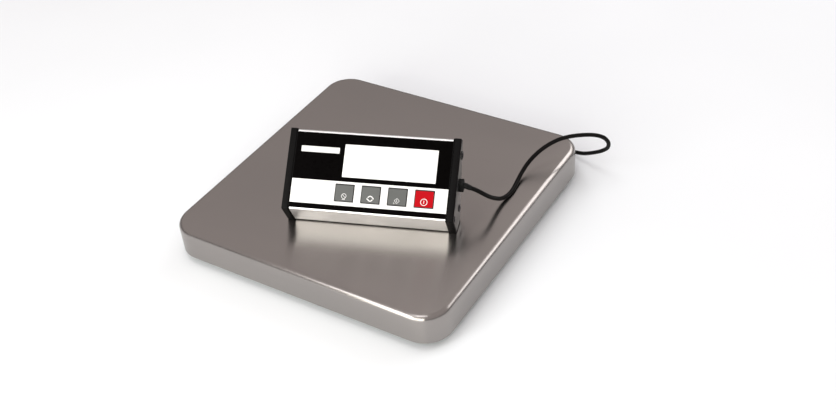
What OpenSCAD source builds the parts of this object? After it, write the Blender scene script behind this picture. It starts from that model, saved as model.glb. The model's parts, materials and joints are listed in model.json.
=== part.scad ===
// Bench shipping scale. A square stainless platter rides on one load cell over a pressed tray,
// and a separate sloping indicator on a signal cord stands on the platter.
// Millimetres, +Z up, origin on the floor under the middle of the platter, front towards -Y.

/* [Platter] */
// Side of the square platter
platter_side = 305; // [300:1:320]
// Height of the weighing surface above the floor
platter_top = 39; // [38:0.5:44]
// Height of the platter's turned-down skirt
skirt_h = 31; // [28:0.5:31]
// Radius of the platter's upright corners
corner_r = 27.5; // [20:0.5:35]
// Radius of the bend along the platter's top edge
edge_r = 5; // [3:0.5:7]
// Thickness of the platter sheet
sheet_t = 1; // [0.8:0.1:1.2]

/* [Base] */
// Height of the rubber feet
foot_h = 7; // [6:0.5:8]
// Radius of the rubber feet
foot_r = 11; // [9:0.5:12]
// Thickness of the pressed tray and of the top frame
plate_t = 2; // [1.5:0.5:2]
// Length of the load cell
cell_l = 130; // [120:1:150]
// Width of the load cell
cell_w = 30; // [26:1:40]

/* [Indicator] */
// Place of the indicator's front contact line, left to right
ind_x = 29; // [20:1:35]
// Place of the indicator's front contact line, front to back
ind_y = -64; // [-75:1:-55]
// Turn of the indicator on the platter
ind_yaw = 19; // [15:0.5:25]
// Width over both end caps
ind_w = 167; // [165:1:175]
// Thickness of each end cap
cap_t = 6.7; // [5:0.1:7]
// Wall of the extruded case
wall = 1.8; // [1.5:0.1:2]
// Width of each key
key_w = 18.5; // [16:0.5:18.5]
// Height of each key along the face
key_h = 16.7; // [15:0.1:16.7]

/* [Cord] */
// Diameter of the signal cord
cord_d = 4.2; // [4:0.1:4.4]

/* [Hidden] */
$fn = 48;

// Levels of the platform stack
pad_t = 1;
spacer_t = 2;
tray_top = foot_h + plate_t;
cell_z = tray_top + spacer_t;
frame_top = platter_top - sheet_t - pad_t;
frame_z = frame_top - plate_t;
cell_top = frame_z - spacer_t;
skirt_z = platter_top - skirt_h;

// Outlines of the two pressings, inside the skirt
tray_side = platter_side - 10;
frame_side = platter_side - 17;
flange_top = tray_top + 11;
frame_skirt = 11;

// Feet, stops, pads and load cell fixings
foot_at = tray_side / 2 - 18;
stop_at = 105;
stop_gap = 0.6;
pad_at = frame_side / 2 - 14;
bolt_r = 3;
bolt_in = cell_l / 2 - 9;
bolt_pitch = 20;
bolt_depth = 14;

// Cord bush at the back of the tray
bush_z = 14.5;
bush_r = 4;
wall_y = tray_side / 2;

// Outline of the end caps in (back, up), from the front contact line
outline = [[0, 0], [20, 0], [52.6, 70.4], [47.4, 76], [-11.5, 23]];
cap_proud = 0.8;
case_w = ind_w - 2 * cap_t;
case_outline = inset(outline, cap_proud);
knee = case_outline[4];
heel = case_outline[1];
face_tilt = slope(outline[4], outline[3]);
rear_tilt = slope(outline[1], outline[2]);

// Front face, measured across from the middle and up from the knee
label_t = 0.4;
window_at = [17.9, 49.9];
window = [91, 32];
key_across = [-23.2, 2.6, 28.4, 54.2];
key_up = 18.8;
key_gap = 0.3;
key_proud = 0.6;
key_t = 2.2;
board_front = 5.2;
board_t = 1.6;
board_at = [15.8, 37.3];
board = [111.6, 59.4];
board_posts = [[-36, 12], [-36, 64], [69.4, 12], [69.4, 64]];

// Battery compartment, measured up the sloping back from the heel
cell_rows = [10.6, 25.9];
battery_r = 7.2;
battery_l = 50;
bay = [105, 30.4, 15.8];
bay_low = 3.2;
bay_wall = 1;

// Rear prop, its strip measured up the sloping back from the heel
prop_w = 26;
prop_t = 1.5;
prop_low = 40;
prop_strip = 18;
prop_foot = 12;
prop_gap = 0.05;
prop_pad_t = 2;
prop_leg_y = heel[0] + prop_low * cos(rear_tilt) + 1;
prop_leg_top = heel[1] + prop_low * sin(rear_tilt) + 2;
prop_screw_up = prop_low + 11;
prop_screw_across = 7;

// Right end cap, in (back, up)
gland_at = [24.5, 38.5];
gland_size = [4.6, 8.6, 10.4];
jack_at = [42.5, 60];
screw_low = [17.4, 16.5];
screw_front = [-5, 21];
sleeve_l = 4.8;
sleeve_drop = 30;
sleeve_back = 10;

// Cord from the gland, over the back right corner, to the hank
cord_route = [[108.8, -9.6, 74.9], [113.5, -6.5, 71.5], [117.5, -3, 67], [120.5, 2, 61], [122, 8, 55],
    [123, 14, 50], [124.5, 22, 44.5], [126, 31, 41.8], [126.5, 41, 41.4], [125, 54, 42],
    [124, 66, 44.5], [125, 78, 49], [129, 90, 54.5], [136, 101, 60], [144.5, 111, 63.5],
    [153, 118, 65], [164, 126, 65], [173.5, 133, 63], [180, 139, 58], [183, 143.5, 50],
    [181, 147, 41], [173.5, 151, 32], [160, 157, 21], [145, 164, 11], [130, 171, 5],
    [118, 178, 3.3], [106, 182, 3.1]];
// Cord from the hank to the bush at the back of the tray
tail_route = [[40, 182.4, 7.5], [30, 182.4, 7.6], [22, 181.7, 8.2], [14, 179, 9.4], [7, 174.5, 10.9],
    [2.5, 168, 12.5], [0.5, 161, 13.8], [0, 155, 14.4], [0, 149.9, 14.5]];
// Lead inside the tray, from the bush to the load cell
lead_route = [[0, 142.3, 14.5], [0, 134, 14.2], [0, 124, 13.5], [0, 112, 13], [-2, 102, 12],
    [-8, 92, 11.4], [-18, 80, 11.4], [-30, 68, 11.4], [-38, 56, 11.4], [-42, 44, 11.6],
    [-44, 34, 13], [-45.5, 26, 17], [-46, 20, 19], [-46, cell_w / 2 + 0.1, 19]];
// Each lead clip's front edge, and the height of the lead in it
clips = [[114, 13.3], [130, 14.1]];
// Lead inside the indicator, from the gland to the board
inner_route = [[74.4, 24.5, 38.5], [70.4, 24.6, 38.8], [66.4, 25, 40], [62.3, 25.6, 41.4]];
lead_d = 3;

// Hank of the cord's spare length, on the floor behind the platter
hank_at = [72, 171];
hank_run = 66;
hank_w = 27;
hank_z = 0.9;
hank_h = 8.8;
tie_w = 5;
tie_t = 0.7;

function unit(v) = v / norm(v);

function slope(a, b) = atan2(b[1] - a[1], b[0] - a[0]);

// Inward normal of the edge from a to b, for an outline listed anticlockwise
function inward(a, b) = let (e = unit(b - a)) [-e[1], e[0]];

// Outline moved in by d on every edge
function inset(points, d) = [
    for (i = [0:len(points) - 1])
        let (before = points[(i + len(points) - 1) % len(points)])
        let (after = points[(i + 1) % len(points)])
        let (n1 = inward(before, points[i]))
        let (n2 = inward(points[i], after))
        points[i] + d * (n1 + n2) / (1 + n1 * n2)
];

// Direction of a route at its point i
function heading(route, i) = unit(route[min(i + 1, len(route) - 1)] - route[max(i - 1, 0)]);

// Side vectors carried along a route without twisting
function sides_along(route, i, side) = i == len(route) ? [] :
    let (t = heading(route, i))
    let (s = unit(side - t * (side * t)))
    concat([s], sides_along(route, i + 1, s));

// Round tube with one ring at each point of a route
module tube(route, d, sides = 8) {
    last = len(route) - 1;
    side_vectors = sides_along(route, 0, [0.2, -0.4, 0.9]);
    rings = [
        for (i = [0:last], k = [0:sides - 1])
            let (u = side_vectors[i])
            let (w = cross(heading(route, i), u))
            route[i] + d / 2 * (cos(360 * k / sides) * u + sin(360 * k / sides) * w)
    ];
    walls = [
        for (i = [0:last - 1], k = [0:sides - 1])
            let (a = i * sides)
            let (n = (k + 1) % sides)
            [a + k, a + sides + k, a + sides + n, a + n]
    ];
    near_end = [for (k = [0:sides - 1]) k];
    far_end = [for (k = [sides - 1:-1:0]) last * sides + k];
    polyhedron(points = rings, faces = concat([near_end], walls, [far_end]), convexity = 6);
}

// Flat rectangle with round corners
module rounded(size_x, size_y, r) {
    square([size_x - 2 * r, size_y], center = true);
    square([size_x, size_y - 2 * r], center = true);
    for (x = [-1, 1], y = [-1, 1])
        translate([x * (size_x / 2 - r), y * (size_y / 2 - r)])
            circle(r);
}

// Plate between two heights
module plate(side, r, z0, z1) {
    translate([0, 0, z0])
        linear_extrude(z1 - z0)
            rounded(side, side, r);
}

// Upright flange around a plate's edge
module flange(side, r, z0, z1) {
    difference() {
        plate(side, r, z0, z1);
        plate(side - 2 * plate_t, r - plate_t, z0 - 1, z1 + 1);
    }
}

// One of everything at each corner of a square
module at_corners(d) {
    for (x = [-d, d], y = [-d, d])
        translate([x, y, 0])
            children();
}

module at_cell_bolts(side) {
    for (x = [bolt_in, bolt_in - bolt_pitch])
        translate([side * x, 0, 0])
            children();
}

module hex_nut(r, h, hole) {
    difference() {
        cylinder(r = r, h = h, $fn = 6);
        translate([0, 0, -1])
            cylinder(r = hole, h = h + 2);
    }
}

// Tray shape with rounded corners and a bent top edge
module pan(side, r, bend, z0, z1) {
    hull()
        for (x = [-1, 1], y = [-1, 1])
            translate([x * (side / 2 - r), y * (side / 2 - r), 0])
                rotate_extrude($fn = 64)
                    polygon(concat(
                        [[0, z0], [r, z0]],
                        [for (a = [0:15:90]) [r - bend + bend * cos(a), z1 - bend + bend * sin(a)]],
                        [[0, z1]]));
}

module base_tray() {
    color("slategray")
    difference() {
        union() {
            plate(tray_side, corner_r - 5, foot_h, tray_top);
            flange(tray_side, corner_r - 5, foot_h, flange_top);
        }
        at_corners(foot_at)
            cylinder(r = 2.3, h = 20);
        at_corners(stop_at)
            cylinder(r = bolt_r + 0.1, h = 20);
        at_cell_bolts(-1)
            cylinder(r = bolt_r + 0.3, h = 20);
        translate([0, wall_y + 1, bush_z])
            rotate([90, 0, 0])
                cylinder(r = bush_r + 0.1, h = 6);
    }
}

module foot(x, y) {
    translate([x * foot_at, y * foot_at, 0])
        difference() {
            union() {
                cylinder(r1 = foot_r - 1.2, r2 = foot_r, h = 1.2);
                translate([0, 0, 1.2])
                    cylinder(r = foot_r, h = foot_h - 1.2);
            }
            translate([0, 0, -1])
                cylinder(r = 2.3, h = foot_h + 2);
            translate([0, 0, -1])
                cylinder(r = 5, h = 4);
        }
}

module foot_front_left() {
    color([0.09, 0.09, 0.09])
    foot(-1, -1);
}

module foot_front_right() {
    color([0.09, 0.09, 0.09])
    foot(1, -1);
}

module foot_rear_left() {
    color([0.09, 0.09, 0.09])
    foot(-1, 1);
}

module foot_rear_right() {
    color([0.09, 0.09, 0.09])
    foot(1, 1);
}

module foot_screws() {
    color("silver")
    at_corners(foot_at)
        translate([0, 0, 0.8]) {
            cylinder(r = 4.4, h = 2.2);
            cylinder(r = 2, h = 12.6);
        }
}

module foot_nuts() {
    color("silver")
    at_corners(foot_at)
        translate([0, 0, tray_top])
            hex_nut(4, 3.2, 2.05);
}

module cell_spacer(side, z) {
    difference() {
        translate([side * (bolt_in - bolt_pitch / 2) - 17, -cell_w / 2, z])
            cube([34, cell_w, spacer_t]);
        at_cell_bolts(side)
            translate([0, 0, z - 1])
                cylinder(r = bolt_r + 0.3, h = spacer_t + 2);
    }
}

module cell_spacer_lower() {
    color("lightgray")
    cell_spacer(-1, tray_top);
}

module cell_spacer_upper() {
    color("lightgray")
    cell_spacer(1, cell_top);
}

module load_cell() {
    color("gainsboro")
    difference() {
        translate([-cell_l / 2, -cell_w / 2, cell_z])
            cube([cell_l, cell_w, cell_top - cell_z]);
        for (x = [-10, 10])
            translate([x, cell_w, (cell_z + cell_top) / 2])
                rotate([90, 0, 0])
                    cylinder(r = 7, h = 2 * cell_w);
        translate([-10, -cell_w, (cell_z + cell_top) / 2 - 3])
            cube([20, 2 * cell_w, 6]);
        at_cell_bolts(-1)
            translate([0, 0, cell_z - 1])
                cylinder(r = bolt_r + 0.05, h = bolt_depth + 1);
        at_cell_bolts(1)
            translate([0, 0, cell_top - bolt_depth])
                cylinder(r = bolt_r + 0.05, h = bolt_depth + 1);
    }
}

module cell_bolts_lower() {
    color("silver")
    at_cell_bolts(-1)
        difference() {
            union() {
                translate([0, 0, foot_h - 4])
                    cylinder(r = 5, h = 4);
                translate([0, 0, foot_h - 1])
                    cylinder(r = bolt_r, h = cell_z + bolt_depth - foot_h);
            }
            translate([0, 0, foot_h - 5])
                cylinder(r = 2.6, h = 3, $fn = 6);
        }
}

module cell_bolts_upper() {
    color("silver")
    at_cell_bolts(1)
        difference() {
            union() {
                translate([0, 0, frame_z])
                    cylinder(r1 = bolt_r, r2 = bolt_r + plate_t + 0.4, h = plate_t);
                translate([0, 0, cell_top - bolt_depth + 1])
                    cylinder(r = bolt_r, h = spacer_t + bolt_depth);
            }
            translate([0, 0, frame_top - 1.4])
                cylinder(r = 2.2, h = 3, $fn = 6);
        }
}

module stop_screws() {
    color("silver")
    at_corners(stop_at)
        difference() {
            translate([0, 0, foot_h - 2])
                cylinder(r = bolt_r, h = frame_z - stop_gap - foot_h + 2);
            translate([0, 0, foot_h - 3])
                cylinder(r = 1.7, h = 4, $fn = 6);
        }
}

module stop_nuts() {
    color("silver")
    at_corners(stop_at)
        translate([0, 0, tray_top])
            hex_nut(5.8, 4, bolt_r + 0.05);
}

module top_frame() {
    color("slategray")
    difference() {
        union() {
            plate(frame_side, corner_r - 9, frame_z, frame_top);
            flange(frame_side, corner_r - 9, frame_z - frame_skirt, frame_top);
        }
        at_corners(72)
            cylinder(r = 36, h = platter_top);
        at_cell_bolts(1)
            translate([0, 0, frame_z - 0.01])
                cylinder(r1 = bolt_r + 0.2, r2 = bolt_r + plate_t + 0.6, h = plate_t + 0.02);
    }
}

module frame_pads() {
    color("dimgray") {
        at_corners(pad_at)
            translate([0, 0, frame_top])
                cylinder(r = 9, h = pad_t);
        for (a = [0:90:270])
            rotate(a)
                translate([pad_at, 0, frame_top])
                    cylinder(r = 9, h = pad_t);
    }
}

module platter() {
    color([0.62, 0.6, 0.58])
    difference() {
        pan(platter_side, corner_r, edge_r, skirt_z, platter_top);
        pan(platter_side - 2 * sheet_t, corner_r - sheet_t, edge_r - sheet_t, skirt_z - 1,
            platter_top - sheet_t);
        translate([-6.5, platter_side / 2 - 6, skirt_z - 1])
            cube([13, 12, bush_z + 6 - skirt_z + 1]);
    }
}

module cell_lead() {
    color([0.08, 0.08, 0.08])
    tube(lead_route, cord_d);
}

module lead_clips() {
    color("white")
    for (at = clips)
        difference() {
            translate([-5, at[0], tray_top])
                cube([10, 6, 9]);
            translate([0, at[0] + 7, at[1]])
                rotate([90, 0, 0])
                    cylinder(r = cord_d / 2 + 0.5, h = 8);
        }
}

module base_bush() {
    color([0.06, 0.06, 0.06])
    translate([0, wall_y, bush_z])
        rotate([-90, 0, 0])
            difference() {
                union() {
                    translate([0, 0, -plate_t - 3])
                        cylinder(r = 5, h = 2.9);
                    translate([0, 0, -plate_t - 1])
                        cylinder(r = bush_r, h = plate_t + 1.5);
                    translate([0, 0, 0.1])
                        cylinder(r1 = 5.2, r2 = 4.4, h = 2.2);
                }
                translate([0, 0, -plate_t - 4])
                    cylinder(r = cord_d / 2, h = 9);
            }
}

module signal_cord() {
    color([0.05, 0.05, 0.05])
    tube(cord_route, cord_d);
}

module cord_tail() {
    color([0.05, 0.05, 0.05])
    tube(tail_route, cord_d);
}

module hank_outline(w) {
    square([hank_run, w], center = true);
    for (x = [-1, 1])
        translate([x * hank_run / 2, 0])
            circle(d = w);
}

module cord_hank() {
    color([0.06, 0.06, 0.06])
    translate([hank_at[0], hank_at[1], hank_z])
        linear_extrude(hank_h)
            hank_outline(hank_w);
}

module cord_tie() {
    color([0.1, 0.1, 0.1])
    translate([hank_at[0] - tie_w / 2, hank_at[1], hank_z + hank_h / 2])
        rotate([90, 0, 90])
            linear_extrude(tie_w)
                difference() {
                    rounded(hank_w + 2 * tie_t + 0.2, hank_h + 2 * tie_t + 0.2, 1.5);
                    square([hank_w + 0.2, hank_h + 0.2], center = true);
                }
}

// Puts children on the platter where the indicator stands: X across, Y back, Z up
module on_platter() {
    translate([ind_x, ind_y, platter_top])
        rotate([0, 0, ind_yaw])
            children();
}

// On the case's sloping front: X across, Y up the face from the knee, Z out of the face
module on_face() {
    on_platter()
        translate([0, knee[0], knee[1]])
            rotate([face_tilt, 0, 0])
                children();
}

// On the case's sloping back: X across, Y up the back from the heel, Z into the case
module on_back() {
    on_platter()
        translate([0, heel[0], heel[1]])
            rotate([rear_tilt, 0, 0])
                children();
}

// Extrudes a (back, up) outline across the indicator, from x0 to x1
module across(x0, x1) {
    translate([x0, 0, 0])
        rotate([90, 0, 90])
            linear_extrude(x1 - x0)
                children();
}

// Cylinder pointing out of the right end cap, or the left one when side is -1
module sideways(side, x, at, r, h) {
    translate([side * x, at[0], at[1]])
        rotate([0, side * 90, 0])
            cylinder(r = r, h = h);
}

// Block on the front face, centred across and up, between two levels
module face_block(at, size, z0, z1, r = 1) {
    translate([at[0], at[1], z0])
        linear_extrude(z1 - z0)
            rounded(size[0], size[1], r);
}

module case_shell() {
    post_l = 12;
    color([0.75, 0.76, 0.77])
    difference() {
        on_platter() {
            across(-case_w / 2, case_w / 2)
                difference() {
                    polygon(case_outline);
                    polygon(inset(case_outline, wall));
                }
            for (side = [-1, 1])
                difference() {
                    union() {
                        sideways(side, case_w / 2 - post_l, screw_front, 3.4, post_l);
                        sideways(side, case_w / 2 - post_l, screw_low, 3.4, post_l);
                        across(side * case_w / 2 - (side + 1) / 2 * post_l,
                            side * case_w / 2 - (side - 1) / 2 * post_l)
                            translate([screw_low[0] - 1, wall])
                                square([2, screw_low[1] - wall - 2]);
                    }
                    sideways(side, case_w / 2 - post_l - 1, screw_front, 1.35, post_l + 2);
                    sideways(side, case_w / 2 - post_l - 1, screw_low, 1.35, post_l + 2);
                }
        }
        on_face() {
            face_block(window_at, window, -wall - 1, 1);
            for (x = key_across)
                face_block([x, key_up], [key_w + 2 * key_gap, key_h + 2 * key_gap], -wall - 1, 1);
        }
        on_back()
            translate([-bay[0] / 2, bay_low, -1])
                cube([bay[0], bay[1], wall + 2]);
    }
}

module cap_body(side) {
    on_platter()
        difference() {
            across(side * (ind_w / 2 - cap_t / 2) - cap_t / 2, side * (ind_w / 2 - cap_t / 2) + cap_t / 2)
                polygon(outline);
            for (at = [screw_low, screw_front])
                sideways(side, case_w / 2 - 1, at, 1.7, cap_t + 2);
            sideways(side, ind_w / 2 - 1.5, screw_front, 3.1, 2);
        }
}

module end_cap_left() {
    color([0.07, 0.07, 0.07])
    cap_body(-1);
}

module end_cap_right() {
    color([0.07, 0.07, 0.07])
    difference() {
        cap_body(1);
        on_platter() {
            sideways(1, case_w / 2 - 1, gland_at, 3.2, cap_t + 2);
            sideways(1, case_w / 2 - 1, jack_at, 3.8, cap_t + 2);
        }
    }
}

module cap_screws() {
    color("dimgray")
    on_platter()
        for (side = [-1, 1]) {
            sideways(side, ind_w / 2, screw_low, 3.6, 1.6);
            sideways(side, ind_w / 2 - 10, screw_low, 1.3, 10.5);
            sideways(side, ind_w / 2 - 1.5, screw_front, 2.9, 1.5);
            sideways(side, ind_w / 2 - 10, screw_front, 1.3, 9);
        }
}

module front_label() {
    color([0.08, 0.08, 0.09])
    on_face()
        difference() {
            face_block([0, 39.4], [case_w - 0.6, 75.6], 0, label_t, 0.5);
            face_block(window_at, window, -1, 1);
            for (x = key_across)
                face_block([x, key_up], [key_w + 2 * key_gap, key_h + 2 * key_gap], -1, 1);
        }
}

module display_lens() {
    color([0.93, 0.94, 0.93])
    on_face()
        face_block(window_at, window - [0.4, 0.4], -wall, label_t);
}

module lcd_panel() {
    color([0.75, 0.8, 0.72])
    on_face()
        face_block(window_at, [98, 38], -board_front + 0.3, -wall - 0.1);
}

module circuit_board() {
    color("darkgreen")
    on_face()
        difference() {
            face_block(board_at, board, -board_front - board_t, -board_front);
            for (at = board_posts)
                translate([at[0], at[1], -10])
                    cylinder(r = 1.2, h = 10);
        }
}

module board_spacers() {
    color("gold")
    on_face()
        for (at = board_posts)
            translate([at[0], at[1], -board_front])
                difference() {
                    cylinder(r = 2.2, h = board_front - wall);
                    translate([0, 0, -1])
                        cylinder(r = 1, h = board_front + 1);
                }
}

module board_screws() {
    color("silver")
    on_face()
        for (at = board_posts)
            translate([at[0], at[1], -board_front - board_t]) {
                translate([0, 0, -1.6])
                    cylinder(r = 2, h = 1.6);
                cylinder(r = 0.95, h = 4.6);
            }
}

module key_switches() {
    color("silver")
    on_face()
        for (x = key_across)
            translate([x, key_up, -board_front]) {
                translate([-3, -3, 0])
                    cube([6, 6, 2.6]);
                cylinder(r = 1.7, h = board_front - key_t + key_proud + label_t - 0.55);
            }
}

module board_parts() {
    low = -board_front - board_t;
    color([0.12, 0.12, 0.12])
    on_face() {
        face_block([0, 52], [14, 14], low - 1.6, low, 0.5);
        face_block([30, 54], [10, 8], low - 1.4, low, 0.5);
        face_block([-22, 52], [9, 5], low - 3, low, 0.5);
        face_block([58, 40], [8, 8], low - 4.6, low, 0.5);
    }
}

module cable_gland() {
    color([0.05, 0.05, 0.05])
    on_platter()
        translate([ind_w / 2, gland_at[0], gland_at[1]])
            difference() {
                union() {
                    translate([0, -gland_size[1] / 2, -gland_size[2] / 2])
                        cube(gland_size);
                    translate([-cap_t - 3, 0, 0])
                        rotate([0, 90, 0])
                            cylinder(r = 3, h = cap_t + 4);
                    translate([gland_size[0] - 1, 0, 0.5])
                        rotate([0, 90 + sleeve_drop, sleeve_back])
                            cylinder(r1 = 3, r2 = 2.5, h = sleeve_l + 1);
                }
                translate([-cap_t - 4, 0, 0])
                    rotate([0, 90, 0])
                        cylinder(r = 1.6, h = cap_t + 7);
            }
}

module gland_nut() {
    color([0.12, 0.12, 0.12])
    on_platter()
        translate([case_w / 2 - 2.6, gland_at[0], gland_at[1]])
            rotate([0, 90, 0])
                hex_nut(5.2, 2.4, 3.05);
}

module indicator_lead() {
    color([0.1, 0.1, 0.1])
    on_platter()
        tube(inner_route, lead_d);
}

module dc_jack() {
    color([0.06, 0.06, 0.06])
    on_platter()
        difference() {
            union() {
                sideways(1, ind_w / 2, jack_at, 4.2, 1.2);
                sideways(1, case_w / 2, jack_at, 3.7, cap_t + 0.5);
            }
            difference() {
                sideways(1, ind_w / 2 - 5.5, jack_at, 2.8, 7);
                sideways(1, ind_w / 2 - 6, jack_at, 1, 6.5);
            }
        }
}

module battery_box() {
    color([0.1, 0.1, 0.1])
    on_back()
        difference() {
            translate([-bay[0] / 2 - bay_wall, bay_low - bay_wall, wall + 0.1])
                cube([bay[0] + 2 * bay_wall, bay[1] + 2 * bay_wall, bay[2] + bay_wall - wall - 0.1]);
            translate([-bay[0] / 2, bay_low, 0])
                cube(bay);
        }
}

module battery_cells() {
    color("goldenrod")
    on_back()
        for (x = [-1, 1], row = [0, 1])
            translate([x * (battery_l / 2 + 0.6), cell_rows[row], 8.4])
                rotate([0, row == 0 ? 90 : -90, 0])
                    translate([0, 0, -battery_l / 2]) {
                        cylinder(r = battery_r, h = battery_l - 1.2);
                        cylinder(r = 2.7, h = battery_l);
                    }
}

module battery_contacts() {
    color("silver")
    on_back()
        for (x = [-1, 1], row = cell_rows)
            translate([x * (bay[0] / 2 - 0.4) - 0.3, row - 5, 3])
                cube([0.6, 10, 11]);
}

module battery_door() {
    color([0.12, 0.12, 0.12])
    on_back()
        translate([0, 0, -0.2]) {
            translate([-57, 2.2, -1.6])
                cube([114, 34, 1.6]);
            for (x = [-9:3:9])
                translate([x - 0.6, 10, -2.2])
                    cube([1.2, 14, 1]);
        }
}

module at_prop_screws() {
    on_back()
        for (x = [-1, 1])
            translate([x * prop_screw_across, prop_screw_up, -prop_t - prop_gap])
                children();
}

module rear_prop() {
    color("gray")
    difference() {
        union() {
            on_back()
                translate([-prop_w / 2, prop_low, -prop_t - prop_gap])
                    cube([prop_w, prop_strip, prop_t]);
            on_platter()
                translate([-prop_w / 2, prop_leg_y, prop_pad_t]) {
                    cube([prop_w, prop_t, prop_leg_top - prop_pad_t]);
                    cube([prop_w, prop_foot, prop_t]);
                }
        }
        at_prop_screws()
            translate([0, 0, -1])
                cylinder(r = 1.7, h = prop_t + 2);
    }
}

module prop_screws() {
    color("silver")
    at_prop_screws() {
        translate([0, 0, -1.5])
            cylinder(r = 2.8, h = 1.5);
        cylinder(r = 1.5, h = prop_t);
    }
}

module prop_pad() {
    color([0.08, 0.08, 0.08])
    on_platter()
        translate([-prop_w / 2, prop_leg_y, 0])
            cube([prop_w, prop_foot, prop_pad_t]);
}

module base_strips() {
    color([0.08, 0.08, 0.08])
    on_platter()
        for (x = [-1, 1])
            translate([x * 48 - 22, 4, 0])
                cube([44, 11, cap_proud]);
}

module key(i) {
    on_face()
        face_block([key_across[i], key_up], [key_w, key_h], label_t + key_proud - key_t,
            label_t + key_proud);
}

module key_hold() {
    color("gray")
    key(0);
}

module key_unit() {
    color("gray")
    key(1);
}

module key_zero() {
    color("gray")
    key(2);
}

module key_power() {
    color("red")
    key(3);
}

base_tray();
foot_front_left();
foot_front_right();
foot_rear_left();
foot_rear_right();
foot_screws();
foot_nuts();
cell_spacer_lower();
load_cell();
cell_bolts_lower();
stop_screws();
stop_nuts();
cell_lead();
lead_clips();
base_bush();
signal_cord();
cord_tail();
cord_hank();
cord_tie();
cell_spacer_upper();
cell_bolts_upper();
top_frame();
frame_pads();
platter();
case_shell();
end_cap_left();
end_cap_right();
cap_screws();
front_label();
display_lens();
lcd_panel();
circuit_board();
board_spacers();
board_screws();
key_switches();
board_parts();
cable_gland();
gland_nut();
indicator_lead();
dc_jack();
battery_box();
battery_cells();
battery_contacts();
battery_door();
rear_prop();
prop_screws();
prop_pad();
base_strips();
key_hold();
key_unit();
key_zero();
key_power();
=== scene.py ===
"""Looks of the bench shipping scale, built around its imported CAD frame. Metres, +Z up."""

import json
import math

import bmesh
import bpy
from mathutils import Matrix, Vector


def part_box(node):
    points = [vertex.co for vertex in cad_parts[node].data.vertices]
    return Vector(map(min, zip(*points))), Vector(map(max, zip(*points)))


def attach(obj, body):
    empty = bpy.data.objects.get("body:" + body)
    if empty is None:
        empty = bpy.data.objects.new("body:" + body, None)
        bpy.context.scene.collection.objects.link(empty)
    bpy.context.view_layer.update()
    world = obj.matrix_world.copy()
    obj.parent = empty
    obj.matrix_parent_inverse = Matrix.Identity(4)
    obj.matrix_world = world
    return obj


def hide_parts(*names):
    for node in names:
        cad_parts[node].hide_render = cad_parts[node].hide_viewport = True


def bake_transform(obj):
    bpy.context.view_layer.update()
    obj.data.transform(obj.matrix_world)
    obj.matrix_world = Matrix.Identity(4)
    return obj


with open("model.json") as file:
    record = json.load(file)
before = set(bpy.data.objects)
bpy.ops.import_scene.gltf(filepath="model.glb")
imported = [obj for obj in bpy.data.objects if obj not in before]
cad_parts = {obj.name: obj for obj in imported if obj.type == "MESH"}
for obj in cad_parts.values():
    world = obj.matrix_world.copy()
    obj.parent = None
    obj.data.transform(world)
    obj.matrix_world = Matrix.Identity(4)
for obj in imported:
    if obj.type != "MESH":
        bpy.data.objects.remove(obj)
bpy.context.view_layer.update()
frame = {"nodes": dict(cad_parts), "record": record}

MM = 0.001
PLATTER_LOW, PLATTER_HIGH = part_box("platter")
TOP = PLATTER_HIGH[2]
SKIRT = PLATTER_LOW[2]
SIDE = PLATTER_HIGH[0] - PLATTER_LOW[0]

# Indicator on the platter, as in the CAD and in mm: the middle of its front contact line, its turn,
# its width, its caps, and its outline as (back, up)
IND_AT = (29, -64)
IND_YAW = math.radians(19)
IND_W = 167
CAP_T = 6.7
CAP_PROUD = 0.8
OUTLINE = [(0, 0), (20, 0), (52.6, 70.4), (47.4, 76), (-11.5, 23)]


# ---------------------------------------------------------------- camera

def make_camera():
    """Camera at the photograph's viewing angle, with its roll and lens."""
    target = Vector((43.8, -2.9, 23.3)) * MM
    place = Vector((538.0, -727.0, 727.8)) * MM
    roll = math.radians(-5.19)
    data = bpy.data.cameras.new("camera")
    data.lens = 48.62
    data.sensor_width = 36
    data.clip_start = 0.01
    cam = bpy.data.objects.new("camera", data)
    bpy.context.scene.collection.objects.link(cam)
    look = (target - place).to_track_quat("-Z", "Y").to_matrix().to_4x4()
    cam.matrix_world = Matrix.Translation(place) @ look @ Matrix.Rotation(roll, 4, "Z")
    bpy.context.scene.camera = cam


make_camera()


# ---------------------------------------------------------------- mesh helpers

def new_object(name, points, faces, smooth=True, sharp=40):
    """Mesh object from points and faces, shaded smooth up to an angle in degrees."""
    mesh = bpy.data.meshes.new(name)
    mesh.from_pydata([tuple(p) for p in points], [], faces)
    mesh.validate()
    obj = bpy.data.objects.new(name, mesh)
    bpy.context.scene.collection.objects.link(obj)
    tidy_normals(obj)
    if smooth:
        shade(obj, sharp)
    return obj


def tidy_normals(obj):
    """Turns every face outwards."""
    bm = bmesh.new()
    bm.from_mesh(obj.data)
    bmesh.ops.recalc_face_normals(bm, faces=bm.faces)
    bm.to_mesh(obj.data)
    bm.free()


def from_bmesh(bm, name, sharp=None):
    """Mesh object from a bmesh, which is freed. Shaded smooth up to an angle in degrees, if one is given."""
    bmesh.ops.recalc_face_normals(bm, faces=bm.faces)
    mesh = bpy.data.meshes.new(name)
    bm.to_mesh(mesh)
    bm.free()
    obj = bpy.data.objects.new(name, mesh)
    bpy.context.scene.collection.objects.link(obj)
    if sharp:
        shade(obj, sharp)
    return obj


def shade(obj, sharp=40):
    """Smooth shading, kept sharp where faces meet at more than an angle in degrees."""
    for polygon in obj.data.polygons:
        polygon.use_smooth = True
    obj.data.set_sharp_from_angle(angle=math.radians(sharp))


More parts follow.
